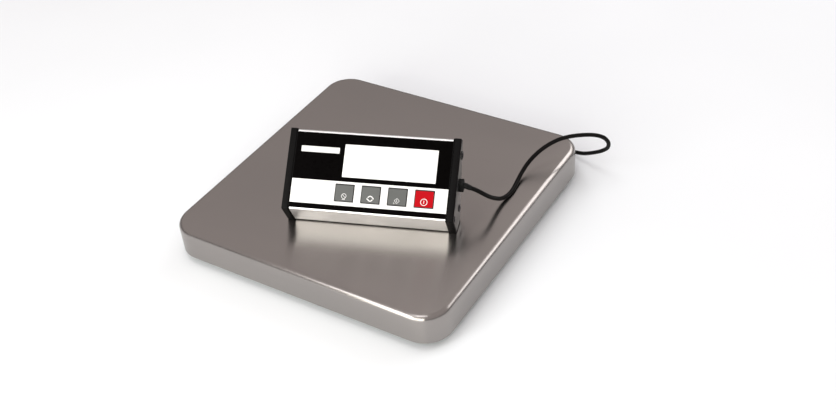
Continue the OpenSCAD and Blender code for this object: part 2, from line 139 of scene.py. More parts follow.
def bevel(obj, width, segments=3, angle=30, sharp=40):
    """Rounds the edges of an object that are sharper than an angle, in the mesh itself."""
    bm = bmesh.new()
    bm.from_mesh(obj.data)
    limit = math.radians(angle)
    edges = [e for e in bm.edges if len(e.link_faces) == 2 and e.calc_face_angle() > limit]
    bmesh.ops.bevel(bm, geom=edges, offset=width, segments=segments, profile=0.5, affect="EDGES",
                    clamp_overlap=True)
    bm.to_mesh(obj.data)
    bm.free()
    shade(obj, sharp)
    return obj


def prism(name, outline, z0, z1, place):
    """Straight prism over a flat outline in mm, put in place by a matrix in metres."""
    n = len(outline)
    points = [place @ Vector((x * MM, y * MM, z * MM)) for z in (z0, z1) for x, y in outline]
    walls = [(i, (i + 1) % n, n + (i + 1) % n, n + i) for i in range(n)]
    return new_object(name, points, [tuple(range(n))[::-1], tuple(range(n, 2 * n))] + walls, smooth=False)


def join(name, parts):
    """Joins several objects into one, keeping each one's material."""
    with bpy.context.temp_override(active_object=parts[0], selected_editable_objects=parts):
        bpy.ops.object.join()
    parts[0].name = name
    parts[0].data.name = name
    return parts[0]


def cut(obj, cutters):
    """Takes the cutters' shapes out of an object's mesh and removes them."""
    for cutter in cutters:
        modifier = obj.modifiers.new("cut", "BOOLEAN")
        modifier.operation = "DIFFERENCE"
        modifier.solver = "EXACT"
        modifier.object = cutter
        graph = bpy.context.evaluated_depsgraph_get()
        mesh = bpy.data.meshes.new_from_object(obj.evaluated_get(graph))
        obj.modifiers.clear()
        obj.data = mesh
        bpy.data.objects.remove(cutter)
    return obj


def rounded_rectangle(cx, cy, w, h, r, steps=5):
    """Anticlockwise outline of a rectangle with round corners."""
    points = []
    for k, (sx, sy) in enumerate(((1, 1), (-1, 1), (-1, -1), (1, -1))):
        for i in range(steps + 1):
            a = math.radians(90 * k + 90 * i / steps)
            points.append((cx + sx * (w / 2 - r) + r * math.cos(a), cy + sy * (h / 2 - r) + r * math.sin(a)))
    return points


def circle(at, r, steps=32):
    """Anticlockwise outline of a circle."""
    return [(at[0] + r * math.cos(2 * math.pi * i / steps), at[1] + r * math.sin(2 * math.pi * i / steps))
            for i in range(steps)]


def smooth_path(points, step):
    """Even points on a smooth curve through the given ones (centripetal Catmull-Rom)."""
    ends = [points[0] * 2 - points[1]] + points + [points[-1] * 2 - points[-2]]
    dense = []
    for a, b, c, d in zip(ends, ends[1:], ends[2:], ends[3:]):
        t1 = (b - a).length ** 0.5
        t2 = t1 + (c - b).length ** 0.5
        t3 = t2 + (d - c).length ** 0.5
        for i in range(24):
            t = t1 + (t2 - t1) * i / 24
            p = a.lerp(b, t / t1)
            q = b.lerp(c, (t - t1) / (t2 - t1))
            r = c.lerp(d, (t - t2) / (t3 - t2))
            dense.append(p.lerp(q, t / t2).lerp(q.lerp(r, (t - t1) / (t3 - t1)), (t - t1) / (t2 - t1)))
    dense.append(points[-1].copy())
    return even_path(dense, step)


def even_path(dense, step):
    """Points a step apart, as nearly as fits, along a line of many points."""
    total = sum((b - a).length for a, b in zip(dense, dense[1:]))
    count = max(2, round(total / step))
    wanted = total / count
    even, travelled = [dense[0].copy()], 0.0
    for a, b in zip(dense, dense[1:]):
        length = (b - a).length
        while travelled + length >= wanted * len(even) and len(even) < count:
            even.append(a.lerp(b, (wanted * len(even) - travelled) / length))
        travelled += length
    return even + [dense[-1].copy()]


def ring_faces(count, sides):
    """Faces of a closed tube through that many rings of points."""
    faces = []
    for i in range(count - 1):
        for k in range(sides):
            a, n = i * sides, (k + 1) % sides
            faces.append((a + k, a + n, a + sides + n, a + sides + k))
    last = (count - 1) * sides
    return faces + [tuple(range(sides))[::-1], tuple(range(last, last + sides))]


def turned(name, profile, place, sides=32):
    """Turned piece: (radius, height) points in mm around Z, closed at both ends, put in place."""
    points = []
    for r, z in profile:
        for k in range(sides):
            a = 2 * math.pi * k / sides
            points.append(place @ Vector((r * math.cos(a) * MM, r * math.sin(a) * MM, z * MM)))
    return new_object(name, points, ring_faces(len(profile), sides), sharp=35)


def sweep(name, path, radius, sides=16):
    """Round tube along a path. radius is one number, or a function of the share of the way along."""
    points = []
    side = Vector((0.2, -0.4, 0.9))
    for i, p in enumerate(path):
        t = (path[min(i + 1, len(path) - 1)] - path[max(i - 1, 0)]).normalized()
        side = (side - t * side.dot(t)).normalized()
        other = t.cross(side)
        r = radius(i / (len(path) - 1)) if callable(radius) else radius
        for k in range(sides):
            a = 2 * math.pi * k / sides
            points.append(p + side * (r * math.cos(a)) + other * (r * math.sin(a)))
    return new_object(name, points, ring_faces(len(path), sides), sharp=60)


# ---------------------------------------------------------------- material helpers

class Shader:
    """A Principled material with short calls for the nodes that all the finishes share."""

    def __init__(self, name, **sockets):
        self.material = bpy.data.materials.new(name)
        self.material.use_nodes = True
        self.tree = self.material.node_tree
        self.bsdf = self.tree.nodes["Principled BSDF"]
        for socket, value in sockets.items():
            self.bsdf.inputs[socket.replace("_", " ")].default_value = value
        self.where = self.tree.nodes.new("ShaderNodeTexCoord")

    def link(self, a, b):
        self.tree.links.new(a, b)

    def noise(self, scale, stretch=(1, 1, 1), detail=4, source="Object", turn=(0, 0, 0)):
        """Noise whose grain is scale cells a metre, drawn out along axes that can be turned."""
        mapping = self.tree.nodes.new("ShaderNodeMapping")
        mapping.vector_type = "TEXTURE"
        mapping.inputs["Scale"].default_value = stretch
        mapping.inputs["Rotation"].default_value = turn
        self.link(self.where.outputs[source], mapping.inputs["Vector"])
        noise = self.tree.nodes.new("ShaderNodeTexNoise")
        noise.inputs["Scale"].default_value = scale
        noise.inputs["Detail"].default_value = detail
        self.link(mapping.outputs["Vector"], noise.inputs["Vector"])
        return noise.outputs["Fac"]

    def span(self, value, low, high, start=0.3, end=0.7):
        """Maps a noise value to a range."""
        node = self.tree.nodes.new("ShaderNodeMapRange")
        node.interpolation_type = "SMOOTHSTEP"
        node.inputs["From Min"].default_value = start
        node.inputs["From Max"].default_value = end
        node.inputs["To Min"].default_value = low
        node.inputs["To Max"].default_value = high
        self.link(value, node.inputs["Value"])
        return node.outputs["Result"]

    def blend_colours(self, value, a, b):
        """Mixes two colours by a noise value."""
        node = self.tree.nodes.new("ShaderNodeMix")
        node.data_type = "RGBA"
        node.inputs["A"].default_value = (*a, 1)
        node.inputs["B"].default_value = (*b, 1)
        self.link(value, node.inputs["Factor"])
        return node.outputs["Result"]

    def colour(self, value, a, b):
        """Base colour between two, by a noise value."""
        self.link(self.blend_colours(value, a, b), self.bsdf.inputs["Base Color"])

    def roughness(self, value, low, high):
        """Roughness in a range, by a noise value."""
        self.link(self.span(value, low, high), self.bsdf.inputs["Roughness"])

    def bump(self, height, strength, distance):
        """Bump from a height value, its depth in metres."""
        node = self.tree.nodes.new("ShaderNodeBump")
        node.inputs["Strength"].default_value = strength
        node.inputs["Distance"].default_value = distance
        self.link(height, node.inputs["Height"])
        self.link(node.outputs["Normal"], self.bsdf.inputs["Normal"])


def shift(colour, factor):
    """Colour made lighter or darker."""
    return tuple(min(1.0, c * factor) for c in colour)


def plastic(name, colour, rough=0.4, grain=1800, depth=0.15, vary=0.12, coat=0.0, shine=0.5):
    """Moulded plastic or film: slight colour drift, uneven gloss and a fine grain."""
    s = Shader(name, Coat_Weight=coat, Coat_Roughness=0.08, Specular_IOR_Level=shine)
    drift = s.noise(35, detail=3)
    s.colour(s.span(drift, 0, 1), shift(colour, 1 - vary), shift(colour, 1 + vary))
    s.roughness(s.noise(260, detail=5), rough - 0.05, rough + 0.07)
    s.bump(s.noise(grain, detail=2), depth, 0.00006)
    return s.material


def metal(name, colour, rough=0.3, stretch=(1, 1, 1), turn=0.0, grain=900, depth=0.1, vary=0.06):
    """Bare or plated metal with a grain that can be drawn out and turned about Z."""
    s = Shader(name, Metallic=1.0)
    streaks = s.noise(grain, stretch=stretch, detail=6, turn=(0, 0, turn))
    s.colour(s.span(streaks, 0, 1), shift(colour, 1 - vary), shift(colour, 1 + vary))
    s.roughness(s.noise(45, detail=5), rough - 0.06, rough + 0.08)
    s.bump(streaks, depth, 0.00004)
    return s.material


def brushed_stainless():
    """Brushed steel sheet: very fine streaks along U, which smear reflections across them."""
    s = Shader("brushed_stainless", Metallic=1.0, Anisotropic=0.9, Anisotropic_Rotation=0.25)
    tangent = s.tree.nodes.new("ShaderNodeTangent")
    tangent.direction_type = "UV_MAP"
    tangent.uv_map = "brush"
    s.link(tangent.outputs["Tangent"], s.bsdf.inputs["Tangent"])
    streaks = s.noise(2200, stretch=(90, 1, 1), detail=6, source="UV")
    wear = s.noise(9, stretch=(2.5, 1, 1), detail=2, source="UV")
    total = s.tree.nodes.new("ShaderNodeMath")
    total.operation = "MULTIPLY_ADD"
    s.link(streaks, total.inputs[0])
    total.inputs[1].default_value = 0.5
    s.link(s.span(wear, 0, 0.5), total.inputs[2])
    s.colour(s.span(total.outputs[0], 0, 1, 0.2, 0.8), (0.320, 0.299, 0.288), (0.344, 0.320, 0.307))
    s.roughness(wear, 0.22, 0.27)
    s.bump(streaks, 0.008, 0.00002)
    return s.material


STEEL = brushed_stainless()
CASE = metal("satin_aluminium", (0.80, 0.80, 0.80), 0.36, stretch=(60, 1, 1), turn=IND_YAW, grain=1600,
             depth=0.06, vary=0.04)
INLAY = metal("cap_inlay", (0.11, 0.11, 0.108), 0.38, grain=900, depth=0.05, vary=0.05)
CAP_BLACK = plastic("cap_black", (0.0022, 0.002, 0.0021), 0.45, grain=2600, depth=0.2, vary=0.2, shine=0.085)
FILM_BLACK = plastic("film_black", (0.0012, 0.0009, 0.0009), 0.3, grain=900, depth=0.02, vary=0.15,
                     shine=0.02)
FILM_WHITE = plastic("film_white", (0.9, 0.9, 0.9), 0.38, grain=900, depth=0.05, vary=0.02)
LENS = plastic("display_white", (0.93, 0.93, 0.93), 0.2, grain=300, depth=0.02, vary=0.01, coat=0.6)
KEY_GREY = plastic("key_grey", (0.092, 0.096, 0.093), 0.42, grain=2200, depth=0.12, vary=0.07)
KEY_RED = plastic("key_red", (0.43, 0.0008, 0.006), 0.4, grain=2200, depth=0.12, vary=0.06, shine=0.1)
KEY_RIM = plastic("key_rim", (0.014, 0.014, 0.015), 0.5, shine=0.3)
INK = plastic("ink_white", (0.75, 0.75, 0.75), 0.5, vary=0.03)
STICKER = plastic("sticker_paper", (0.8, 0.8, 0.79), 0.55, vary=0.03)
JACKET = plastic("cord_jacket", (0.0028, 0.0022, 0.002), 0.45, grain=900, depth=0.1, vary=0.2, shine=0.1)
RUBBER = plastic("rubber_black", (0.003, 0.003, 0.003), 0.62, grain=1500, depth=0.3, vary=0.2, shine=0.2)
MOULDED = plastic("moulded_black", (0.016, 0.016, 0.017), 0.48, grain=2000, depth=0.25, vary=0.15)
ZINC = metal("zinc_plate", (0.68, 0.69, 0.7), 0.3, grain=400)

NODE_FINISH = {
    "painted_steel": plastic("powder_coat", (0.035, 0.037, 0.04), 0.5, grain=1100, depth=0.5, vary=0.15),
    "plated_steel": ZINC,
    "black_steel": metal("black_oxide", (0.04, 0.04, 0.045), 0.38, grain=600),
    "stainless": STEEL,
    "cell_aluminium": metal("cell_alloy", (0.78, 0.79, 0.8), 0.35, stretch=(20, 1, 1), grain=700),
    "case_aluminium": CASE,
    "rubber": RUBBER,
    "cord_jacket": JACKET,
    "black_plastic": MOULDED,
    "white_plastic": plastic("moulded_white", (0.74, 0.74, 0.72), 0.45),
    "brass": metal("brass_turned", (0.72, 0.52, 0.22), 0.3, grain=500),
    "label_film": FILM_BLACK,
    "clear_lens": LENS,
    "lcd_glass": plastic("lcd_glass", (0.5, 0.54, 0.47), 0.2, coat=0.5, vary=0.04),
    "board_green": plastic("solder_mask", (0.01, 0.09, 0.035), 0.3, grain=500, coat=0.3),
    "battery_wrap": plastic("battery_wrap", (0.3, 0.2, 0.03), 0.3, coat=0.3),
    "key_grey": KEY_GREY,
    "key_red": KEY_RED,
}


def paint(obj, material):
    """Gives an object one material."""
    obj.data.materials.clear()
    obj.data.materials.append(material)
    return obj


def finish_nodes():
    """Gives every CAD node the finish of its material slot."""
    for part in frame["record"]["subparts"]:
        obj = frame["nodes"][part["node"]]
        for i in range(len(obj.material_slots)):
            obj.material_slots[i].material = NODE_FINISH[part["material_slot"]]


finish_nodes()


# ---------------------------------------------------------------- cord

# The route's points as in the CAD, in mm: from the gland over the back right corner to the hank
CORD_ROUTE = [
    (108.8, -9.6, 74.9), (113.5, -6.5, 71.5), (117.5, -3, 67), (120.5, 2, 61), (122, 8, 55),
    (123, 14, 50), (124.5, 22, 44.5), (126, 31, 41.8), (126.5, 41, 41.4), (125, 54, 42),
    (124, 66, 44.5), (125, 78, 49), (129, 90, 54.5), (136, 101, 60), (144.5, 111, 63.5),
    (153, 118, 65), (164, 126, 65), (173.5, 133, 63), (180, 139, 58), (183, 143.5, 50),
    (181, 147, 41), (173.5, 151, 32), (160, 157, 21), (145, 164, 11), (130, 171, 5),
    (118, 178, 3.3), (106, 182, 3.1)]
# From the hank to the bush at the back of the tray
TAIL_ROUTE = [
    (40, 182.4, 7.5), (30, 182.4, 7.6), (22, 181.7, 8.2), (14, 179, 9.4), (7, 174.5, 10.9),
    (2.5, 168, 12.5), (0.5, 161, 13.8), (0, 155, 14.4), (0, 149.9, 14.5)]
CORD_D = 4.2
HANK_AT = (72, 171)
HANK_RUN = 66
HANK_WIDE = 11.4
HANK_NARROW = 7.0
HANK_LOW = 3.1
HANK_HIGH = 7.5


def ease(share):
    """0 to 1 with a soft start and end."""
    share = min(1.0, max(0.0, share))
    return share * share * (3 - 2 * share)


def hank_turn(first, last, low, high):
    """One turn of the hank, from the right end of its far run. Widths go from first to last half-width
    in the right-hand bend, and the turn climbs from low to high along the end of its near run."""
    cx, cy = HANK_AT
    half = HANK_RUN / 2
    points = [(cx + half - HANK_RUN * i / 6, cy + first, low) for i in range(1, 6)]
    for i in range(9):
        a = math.radians(90 + 180 * i / 8)
        points.append((cx - half + first * math.cos(a), cy + first * math.sin(a), low))
    points += [(cx - half + HANK_RUN * i / 6, cy - first, low + (high - low) * ease((i - 2) / 4))
               for i in range(1, 6)]
    for i in range(9):
        a = math.radians(-90 + 180 * i / 8)
        w = first + (last - first) * ease(i / 8)
        points.append((cx + half + w * math.cos(a), cy + w * math.sin(a), high))
    return points


def make_cord():
    """The signal cord: visible loop, hank of three turns and tail, one tube of its real length."""
    turns = hank_turn(HANK_WIDE, HANK_NARROW, HANK_LOW, HANK_LOW)
    turns += hank_turn(HANK_NARROW, HANK_NARROW, HANK_LOW, HANK_HIGH)
    turns += hank_turn(HANK_NARROW, HANK_WIDE, HANK_HIGH, HANK_HIGH)
    cx, cy = HANK_AT
    last_run = [(cx + HANK_RUN / 2 - HANK_RUN * i / 6, cy + HANK_WIDE, HANK_HIGH) for i in range(1, 6)]
    points = [Vector(p) * MM for p in CORD_ROUTE + turns + last_run + TAIL_ROUTE]
    path = smooth_path(points, 2.2 * MM)
    cord = paint(sweep("cord_run", path, CORD_D / 2 * MM, sides=14), JACKET)
    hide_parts("signal_cord", "cord_tail", "cord_hank")
    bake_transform(cord)
    return cord, path


def make_tie():
    """Hook-and-loop strap around the hank, with its overlapping end. It rides with the platform."""
    low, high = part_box("cord_tie")
    cx, cy, cz = ((low[i] + high[i]) / 2 for i in range(3))
    w, h = (high[1] - low[1]) / MM, (high[2] - low[2]) / MM
    t, half = 0.4, 2.5
    upright = Matrix.Rotation(math.pi / 2, 4, "Z") @ Matrix.Rotation(math.pi / 2, 4, "X")
    place = Matrix.Translation((cx, cy, cz)) @ upright
    outer = rounded_rectangle(0, 0, w, h, 2.2, 8)
    inner = rounded_rectangle(0, 0, w - 2 * t, h - 2 * t, 1.8, 8)
    n = len(outer)
    points = [place @ Vector((x * MM, y * MM, z * MM)) for z in (-half, half) for x, y in outer + inner]
    faces = []
    for i in range(n):
        j = (i + 1) % n
        faces.append((i, j, 2 * n + j, 2 * n + i))
        faces.append((n + i, 3 * n + i, 3 * n + j, n + j))
        faces.append((i, n + i, n + j, j))
        faces.append((2 * n + i, 2 * n + j, 3 * n + j, 3 * n + i))
    band = bevel(new_object("tie_band", points, faces), 0.2 * MM, 2, angle=60)
    tab = prism("tie_tab", rounded_rectangle(4, h / 2 + 0.3, 10, 0.7, 0.3, 3), -2.3, 2.3, place)
    strap = join("cord_strap", [paint(band, RUBBER), paint(bevel(tab, 0.12 * MM, 2), RUBBER)])
    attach(strap, "platform")
    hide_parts("cord_tie")
    return strap


cord, cord_path = make_cord()
strap = make_tie()


# ---------------------------------------------------------------- platter

def make_platter():
    """Pressed stainless pan: flat top, rolled edge, round corners, skirt, and the notch for the bush."""
    corner, bend, sheet = 27.5 * MM, 5 * MM, 1 * MM
    notch, notch_top = 6.5 * MM, 20.5 * MM
    back_stops = (20 * MM, 50 * MM, 80 * MM, 105 * MM)
    arc_steps, side_steps = 14, 8

    def outline(shrink):
        """Points around the pan, anticlockwise from the notch, and the brushing distance of each."""
        half, r = SIDE / 2 - shrink, corner - shrink
        base = SIDE / 2 - corner
        points, along = [], []

        def add(p, s):
            """One more point, with its distance."""
            points.append(p)
            along.append(s)

        run = 0.0
        for x in (notch, *back_stops, base):
            add((-x, half), run - notch + x)
        run += base - notch
        for k, (sx, sy) in enumerate(((-1, 1), (-1, -1), (1, -1), (1, 1))):
            for i in range(1, arc_steps + 1):
                turned_by = math.radians(90 * i / arc_steps)
                a = math.radians(90 + 90 * k) + turned_by
                add((sx * base + r * math.cos(a), sy * base + r * math.sin(a)), run + corner * turned_by)
            run += corner * math.pi / 2
            if k == 3:
                break
            start = Vector(points[-1])
            step = Vector(((0, -1), (1, 0), (0, 1))[k]) * 2 * base
            for i in range(1, side_steps + 1):
                add(tuple(start + step * i / side_steps), run + 2 * base * i / side_steps)
            run += 2 * base
        for x in (*back_stops[::-1], notch):
            add((x, half), run + base - x)
        return points, along

    rows = [(0, SKIRT), (0, notch_top), (0, TOP - bend)]
    rows += [(bend * (1 - math.cos(math.radians(9 * i))), TOP - bend + bend * math.sin(math.radians(9 * i)))
             for i in range(1, 11)]
    inside = [(sheet + (bend - sheet) * (1 - math.cos(math.radians(15 * i))),
               TOP - bend + (bend - sheet) * math.sin(math.radians(15 * i))) for i in range(7)]
    inner_rows = [(sheet, SKIRT), (sheet, notch_top)] + inside
    bm = bmesh.new()
    uv = bm.loops.layers.uv.new("brush")

    def skin(levels):
        """One side of the sheet through rings at (shrink, height), closed on top and open at the notch."""
        loops = []
        for shrink, z in levels:
            points, along = outline(shrink)
            loops.append([(bm.verts.new((x, y, z)), s) for (x, y), s in zip(points, along)])
        for row, (low, high) in enumerate(zip(loops, loops[1:])):
            n = len(low)
            for i in range(n):
                j = (i + 1) % n
                if row == 0 and j == 0:
                    continue
                face = bm.faces.new((low[i][0], low[j][0], high[j][0], high[i][0]))
                end = low[j][1] if j else low[i][1] + 2 * notch
                for loop, u in zip(face.loops, (low[i][1], end, end, low[i][1])):
                    loop[uv].uv = (u, loop.vert.co.z + row * 0.0007)
        cap = bm.faces.new([v for v, _ in loops[-1]])
        for loop in cap.loops:
            loop[uv].uv = (loop.vert.co.x + 2, loop.vert.co.y + 1)
        return loops

    outer = skin(rows)
    inner = skin(inner_rows)
    n = len(outer[0])
    for i in range(n - 1):
        bm.faces.new([outer[0][i][0], inner[0][i][0], inner[0][i + 1][0], outer[0][i + 1][0]])
    for k in (0, n - 1):
        bm.faces.new([outer[0][k][0], outer[1][k][0], inner[1][k][0], inner[0][k][0]])
    bm.faces.new([outer[1][0][0], outer[1][n - 1][0], inner[1][n - 1][0], inner[1][0][0]])
    obj = paint(from_bmesh(bm, "platter_sheet", 35), STEEL)
    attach(obj, "platform")
    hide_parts("platter")
    return obj


make_platter()


# ---------------------------------------------------------------- indicator

def inset(points, d):
    """Outline, listed anticlockwise, moved in by d on every edge."""
    moved = []
    for before, here, after in zip(points[-1:] + points[:-1], points, points[1:] + points[:1]):
        e1 = Vector((here[0] - before[0], here[1] - before[1])).normalized()
        e2 = Vector((after[0] - here[0], after[1] - here[1])).normalized()
        n1, n2 = Vector((-e1.y, e1.x)), Vector((-e2.y, e2.x))
        p = Vector(here) + (n1 + n2) * (d / (1 + n1.dot(n2)))
        moved.append((p.x, p.y))
    return moved


CASE_OUTLINE = inset(OUTLINE, CAP_PROUD)
HEEL = CASE_OUTLINE[1]
KNEE = CASE_OUTLINE[4]
FACE_TILT = math.atan2(OUTLINE[3][1] - OUTLINE[4][1], OUTLINE[3][0] - OUTLINE[4][0])
CASE_W = IND_W - 2 * CAP_T
BACK_TILT = math.atan2(OUTLINE[2][1] - OUTLINE[1][1], OUTLINE[2][0] - OUTLINE[1][0])


def tilted(at, tilt):
    """Frame on the indicator at a point in (back, up), tilted about its width."""
    return ON_PLATTER @ Matrix.Translation((0, at[0] * MM, at[1] * MM)) @ Matrix.Rotation(tilt, 4, "X")


# Frames of the indicator: on the platter, on the sloping face (X across, Y up the face, Z out), and on the
# sloping back (X across, Y up the back, Z into the case)
ON_PLATTER = Matrix.Translation((IND_AT[0] * MM, IND_AT[1] * MM, TOP)) @ Matrix.Rotation(IND_YAW, 4, "Z")
ON_FACE = tilted(KNEE, FACE_TILT)
ON_BACK = tilted(HEEL, BACK_TILT)
# Takes an outline drawn in (back, up) and extrudes it across the indicator
ACROSS = ON_PLATTER @ Matrix(((0, 0, 1, 0), (1, 0, 0, 0), (0, 1, 0, 0), (0, 0, 0, 1)))
# Centre and size of the display window, and the keys' places, across and up the face
WINDOW = (17.9, 49.9, 91, 32)
KEYS = {"key_hold": -23.2, "key_unit": 2.6, "key_zero": 28.4, "key_power": 54.2}
KEY_UP = 18.8
KEY_SIZE = (18.5, 16.7)
# Thickness of the label, and how far the keys stand out of the face
LABEL_T = 0.4
KEY_OUT = 1.0
# Battery opening: width, lower edge and height up the back
BAY = (105, 3.2, 30.4)
# Lower end of the rear prop's strip, up the back
PROP_LOW = 40
# End cap fittings in (back, up)
SCREW_LOW = (17.4, 16.5)
SCREW_FRONT = (-5, 21)
JACK_AT = (42.5, 60)


def on_indicator(obj, *nodes, slot):
    """Makes a piece ride the indicator and hides the nodes it replaces. slot is not used."""
    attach(obj, "indicator")
    if nodes:
        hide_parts(*nodes)
    return obj


def make_caps():
    """End caps: black moulding with a rolled edge and a thin satin inlay on the outer side."""
    for side, node in ((-1, "end_cap_left"), (1, "end_cap_right")):
        inner = side * CASE_W / 2
        outer = side * IND_W / 2
        cap = prism("cap_body", OUTLINE, *sorted((inner, outer)), ACROSS)
        bevel(cap, 0.9 * MM, 4)
        # Sinks as (place, radius, depth), and the inlay's openings as (place, radius)
        sinks = [(SCREW_FRONT, 3.1, 1.5)]
        openings = [(SCREW_FRONT, 3.3), (SCREW_LOW, 3.6)]
        if side == 1:
            sinks.append((JACK_AT, 2.9, 5.5))
            openings.append((JACK_AT, 4.3))
        cut(cap, [prism("sink", circle(at, r), *sorted((outer - side * depth, outer + side)), ACROSS)
                  for at, r, depth in sinks])
        shade(paint(cap, CAP_BLACK), 35)
        lip = prism("cap_lip", inset(OUTLINE, 0.35), *sorted((inner - side * 0.9, inner)), ACROSS)
        paint(bevel(lip, 0.25 * MM, 2), CAP_BLACK)
        inlay = prism("cap_inlay", inset(OUTLINE, 1.9), *sorted((outer, outer + side * 0.15)), ACROSS)
        cut(inlay, [prism("opening", circle(at, r), outer - 1, outer + 1, ACROSS) for at, r in openings])
        paint(inlay, INLAY)
        whole = join(node.replace("end_cap", "cap"), [cap, lip, inlay])
        on_indicator(whole, node, slot="black_plastic")


def grid_panel(name, xs, ys, is_hole, z0, z1):
    """Thin plate on the face made of the cells of a grid, leaving out the cells that are holes."""
    bm = bmesh.new()
    verts = {}

    def vert(i, j, z):
        """The grid's point at a height, made once."""
        if (i, j, z) not in verts:
            verts[i, j, z] = bm.verts.new(ON_FACE @ Vector((xs[i] * MM, ys[j] * MM, z * MM)))
        return verts[i, j, z]

    filled = {(i, j) for i in range(len(xs) - 1) for j in range(len(ys) - 1) if not is_hole(i, j)}
    for i, j in filled:
        corners = ((i, j), (i + 1, j), (i + 1, j + 1), (i, j + 1))
        bm.faces.new([vert(a, b, z1) for a, b in corners])
        bm.faces.new([vert(a, b, z0) for a, b in corners[::-1]])
        for k, (di, dj) in enumerate(((0, -1), (1, 0), (0, 1), (-1, 0))):
            if (i + di, j + dj) in filled:
                continue
            a, b = corners[k], corners[(k + 1) % 4]
            bm.faces.new([vert(*a, z0), vert(*b, z0), vert(*b, z1), vert(*a, z1)])
    return from_bmesh(bm, name)


def make_label():
    """Printed film over the face: black field with the window, white key strip, black foot strip."""
    edge, gap = CASE_W / 2 - 0.3, 0.3
    # Heights up the face: the foot strip from low to foot, the key strip to keys, the field to high
    low, foot, keys, high = 1.6, 6.6, 29.6, 75.4
    wx, wy, ww, wh = WINDOW
    xs = [-edge, wx - ww / 2, wx + ww / 2, edge]
    ys = [keys, wy - wh / 2, wy + wh / 2, high]
    field = grid_panel("label_field", xs, ys, lambda i, j: (i, j) == (1, 1), 0, LABEL_T)
    paint(field, FILM_BLACK)
    xs = [-edge]
    for x in KEYS.values():
        xs += [x - KEY_SIZE[0] / 2 - gap, x + KEY_SIZE[0] / 2 + gap]
    xs.append(edge)
    ys = [foot, KEY_UP - KEY_SIZE[1] / 2 - gap, KEY_UP + KEY_SIZE[1] / 2 + gap, keys]
    strip = grid_panel("label_strip", xs, ys, lambda i, j: j == 1 and i % 2 == 1, 0, LABEL_T)
    paint(strip, FILM_WHITE)
    edging = grid_panel("label_foot", [-edge, edge], [low, foot], lambda i, j: False, 0, LABEL_T)
    paint(edging, FILM_BLACK)
    on_indicator(join("face_label", [field, strip, edging]), "front_label", slot="label_film")


def make_sticker():
    """Small blank paper sticker on the black field."""
    outline = rounded_rectangle(-51.5, 59, 38, 5.6, 0.5)
    body = prism("rating_sticker", outline, LABEL_T, LABEL_T + 0.08, ON_FACE)
    on_indicator(paint(body, STICKER), slot="label_film")


def make_lens():
    """Blank window of the display, with a softened edge."""
    wx, wy, ww, wh = WINDOW
    outline = rounded_rectangle(wx, wy, ww - 0.4, wh - 0.4, 0.6)
    lens = prism("window_lens", outline, -1.8, LABEL_T + 0.02, ON_FACE)
    on_indicator(paint(bevel(lens, 0.15 * MM, 2), LENS), "display_lens", slot="clear_lens")


def stroke(points, width, closed=False):
    """Flat line of a given width through the points, as a list of quads."""
    quads = []
    n = len(points)
    rows = []
    for i in range(n):
        before = points[(i - 1) % n] if closed or i else points[i]
        after = points[(i + 1) % n] if closed or i < n - 1 else points[i]
        d = Vector((after[0] - before[0], after[1] - before[1])).normalized()
        side = Vector((-d.y, d.x)) * width / 2
        p = Vector(points[i])
        rows.append((tuple(p + side), tuple(p - side)))
    for i in range(n if closed else n - 1):
        j = (i + 1) % n
        quads.append([rows[i][0], rows[i][1], rows[j][1], rows[j][0]])
    return quads


def arc(cx, cy, r, a0, a1, steps=24):
    """Points along an arc, its angles in degrees."""
    return [(cx + r * math.cos(math.radians(a0 + (a1 - a0) * i / steps)),
             cy + r * math.sin(math.radians(a0 + (a1 - a0) * i / steps))) for i in range(steps + 1)]


def key_marks(name):
    """Generic printed sign of each key, as flat quads around the key's centre."""
    if name == "key_hold":
        marks = stroke(arc(0, -3, 2.3, 0, 360)[:-1], 0.45, closed=True)
        marks += stroke([(-1.5, -1.6), (1.5, -4.4)], 0.45)
        marks += stroke([(-1.5, -6.2), (1.5, -6.2)], 0.5)
    elif name == "key_unit":
        marks = stroke(arc(0, -3.6, 2.3, 20, 165), 1.0)
        marks += stroke(arc(0, -3.6, 2.3, 200, 345), 1.0)
        marks += [[(1.2, -2.6), (3.5, -2.6), (3.3, -4.4), (2.4, -3.4)]]
        marks += [[(-1.2, -4.6), (-3.5, -4.6), (-3.3, -2.8), (-2.4, -3.8)]]
    elif name == "key_zero":
        marks = stroke([(0, -1.2), (2.5, -3.7), (0, -6.2), (-2.5, -3.7)], 0.5, closed=True)
        marks += stroke([(-0.1, -2.4), (-0.1, -4.6)], 0.45)
        marks += stroke([(-3.2, -5.6), (-2.2, -6.6)], 0.5)
    else:
        marks = stroke(arc(0, -3, 3.1, 0, 360)[:-1], 0.6, closed=True)
        marks += stroke([(0, -1.4), (0, -4.4)], 0.6)
    return marks


def make_keys():
    """Raised keys with a dark printed rim, a soft edge and a printed sign."""
    w, h = KEY_SIZE
    for name, x in KEYS.items():
        face = KEY_RED if name == "key_power" else KEY_GREY
        outline = rounded_rectangle(x, KEY_UP, w, h, 1.0)
        body = prism(name + "_cap", outline, KEY_OUT - 2.2, KEY_OUT, ON_FACE)
        paint(bevel(body, 0.25 * MM, 3), KEY_RIM)
        pad = prism(name + "_pad", rounded_rectangle(x, KEY_UP - 0.15, w - 1.3, h - 1.5, 0.7),
                    KEY_OUT - 0.1, KEY_OUT + 0.03, ON_FACE)
        paint(pad, face)
        parts = [body, pad]
        for quad in key_marks(name):
            mark = prism("mark", [(x + a, KEY_UP + b) for a, b in quad], KEY_OUT, KEY_OUT + 0.06, ON_FACE)
            parts.append(paint(mark, INK))
        key = join(name + "_top", parts)
        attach(key, name)
        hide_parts(name)


